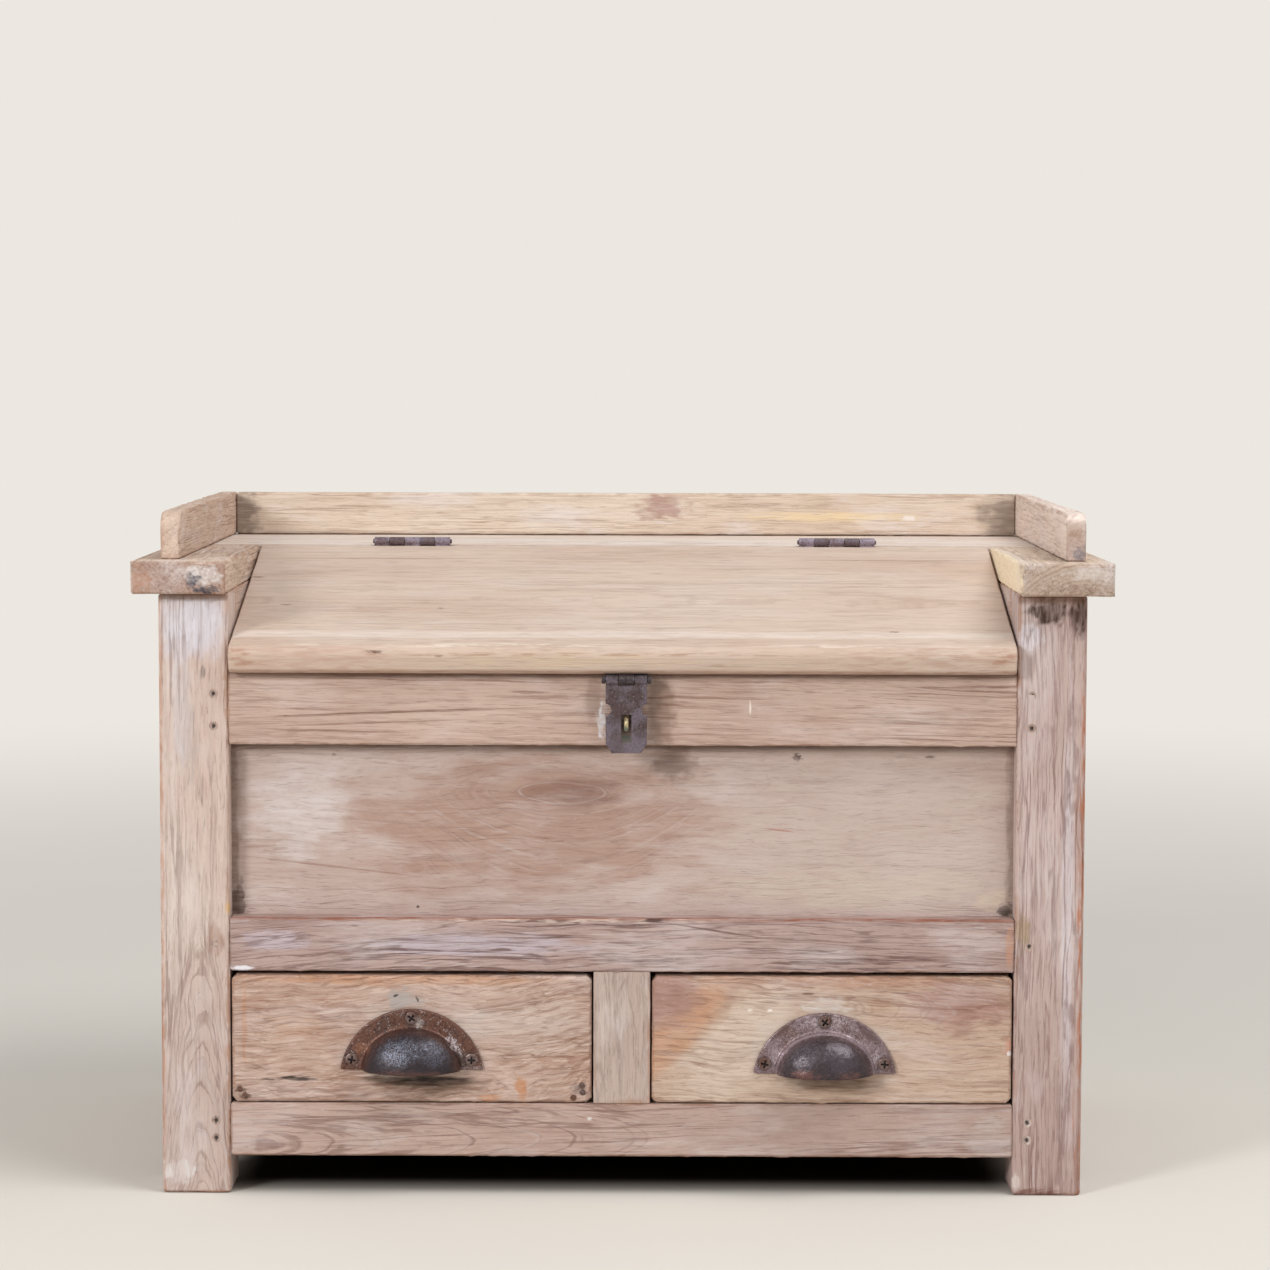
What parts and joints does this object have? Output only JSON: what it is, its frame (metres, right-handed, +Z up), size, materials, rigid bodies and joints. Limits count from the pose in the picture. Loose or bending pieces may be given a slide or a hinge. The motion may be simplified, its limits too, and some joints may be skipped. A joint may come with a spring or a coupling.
{
  "type": "mule chest",
  "caption": "Low wooden mule chest with a sloping hinged lid and hasp, a low gallery round the top, square posts and drawers with cup pulls below.",
  "frame": {"origin": "on the floor, below the middle of the chest's overall box", "axes": "+X to the right as seen from the front, +Y to the back, +Z up"},
  "size_m": [0.632, 0.364, 0.445],
  "materials": {
    "bleached_wood": "dry, waxed smooth",
    "drawer_wood": "dry, waxed smooth",
    "inside_wood": "planed, unfinished",
    "rusted_iron": "rusted and worn",
    "dull_steel": "dull, tarnished",
    "brass": "tarnished"
  },
  "bodies": {
    "frame": {"back_bottom_rail": "bleached_wood", "back_gallery": "bleached_wood", "back_lower_board": "inside_wood", "back_top_rail": "bleached_wood", "back_upper_board": "inside_wood", "centre_drawer_runner": "inside_wood", "chest_floor": "inside_wood", "drawer_divider": "bleached_wood", "drawer_guide": "inside_wood", "front_bottom_rail": "bleached_wood", "front_left_post": "bleached_wood", "front_middle_rail": "bleached_wood", "front_panel": "bleached_wood", "front_right_post": "bleached_wood", "front_top_rail": "bleached_wood", "hinge_frame_screws": "dull_steel", "hinge_pins": "dull_steel", "joint_pegs": "bleached_wood", "left_arm": "bleached_wood", "left_drawer_runner": "inside_wood", "left_floor_bearer": "inside_wood", "left_gallery": "bleached_wood", "left_hinge_frame_leaf": "dull_steel", "left_side_bottom_rail": "bleached_wood", "left_side_panel": "bleached_wood", "left_side_top_rail": "bleached_wood", "rear_left_post": "bleached_wood", "rear_right_post": "bleached_wood", "right_arm": "bleached_wood", "right_drawer_runner": "inside_wood", "right_floor_bearer": "inside_wood", "right_gallery": "bleached_wood", "right_hinge_frame_leaf": "dull_steel", "right_side_bottom_rail": "bleached_wood", "right_side_panel": "bleached_wood", "right_side_top_rail": "bleached_wood", "staple": "brass", "top_board": "bleached_wood"},
    "lid": {"lid": "bleached_wood", "left_hinge_lid_leaf": "dull_steel", "right_hinge_lid_leaf": "dull_steel", "hinge_lid_screws": "dull_steel", "hasp_leaf": "dull_steel", "hasp_leaf_screws": "dull_steel", "hasp_pin": "dull_steel"},
    "hasp": {"hasp_strap": "dull_steel"},
    "drawer_left": {"left_drawer_front": "drawer_wood", "left_drawer_left_side": "drawer_wood", "left_drawer_right_side": "drawer_wood", "left_drawer_back": "drawer_wood", "left_drawer_bottom": "drawer_wood", "left_drawer_pull": "rusted_iron", "left_drawer_pull_screws": "rusted_iron"},
    "drawer_right": {"right_drawer_front": "drawer_wood", "right_drawer_left_side": "drawer_wood", "right_drawer_right_side": "drawer_wood", "right_drawer_back": "drawer_wood", "right_drawer_bottom": "drawer_wood", "right_drawer_pull": "rusted_iron", "right_drawer_pull_screws": "rusted_iron"}
  },
  "joints": [
    {"name": "lid_hinge", "type": "hinge", "parent": "frame", "child": "lid", "pos_m": [0, 0.0316, 0.4166], "axis": [-1, 0, 0], "range_deg": [0, 180]},
    {"name": "hasp_hinge", "type": "hinge", "parent": "lid", "child": "hasp", "pos_m": [0.0025, -0.1678, 0.33863], "axis": [-1, 0, 0], "range_deg": [-11, 150]},
    {"name": "left_drawer_slide", "type": "slide", "parent": "frame", "child": "drawer_left", "axis": [0, -1, 0], "range_m": [0, 0.23]},
    {"name": "right_drawer_slide", "type": "slide", "parent": "frame", "child": "drawer_right", "axis": [0, -1, 0], "range_m": [0, 0.23]}
  ]
}
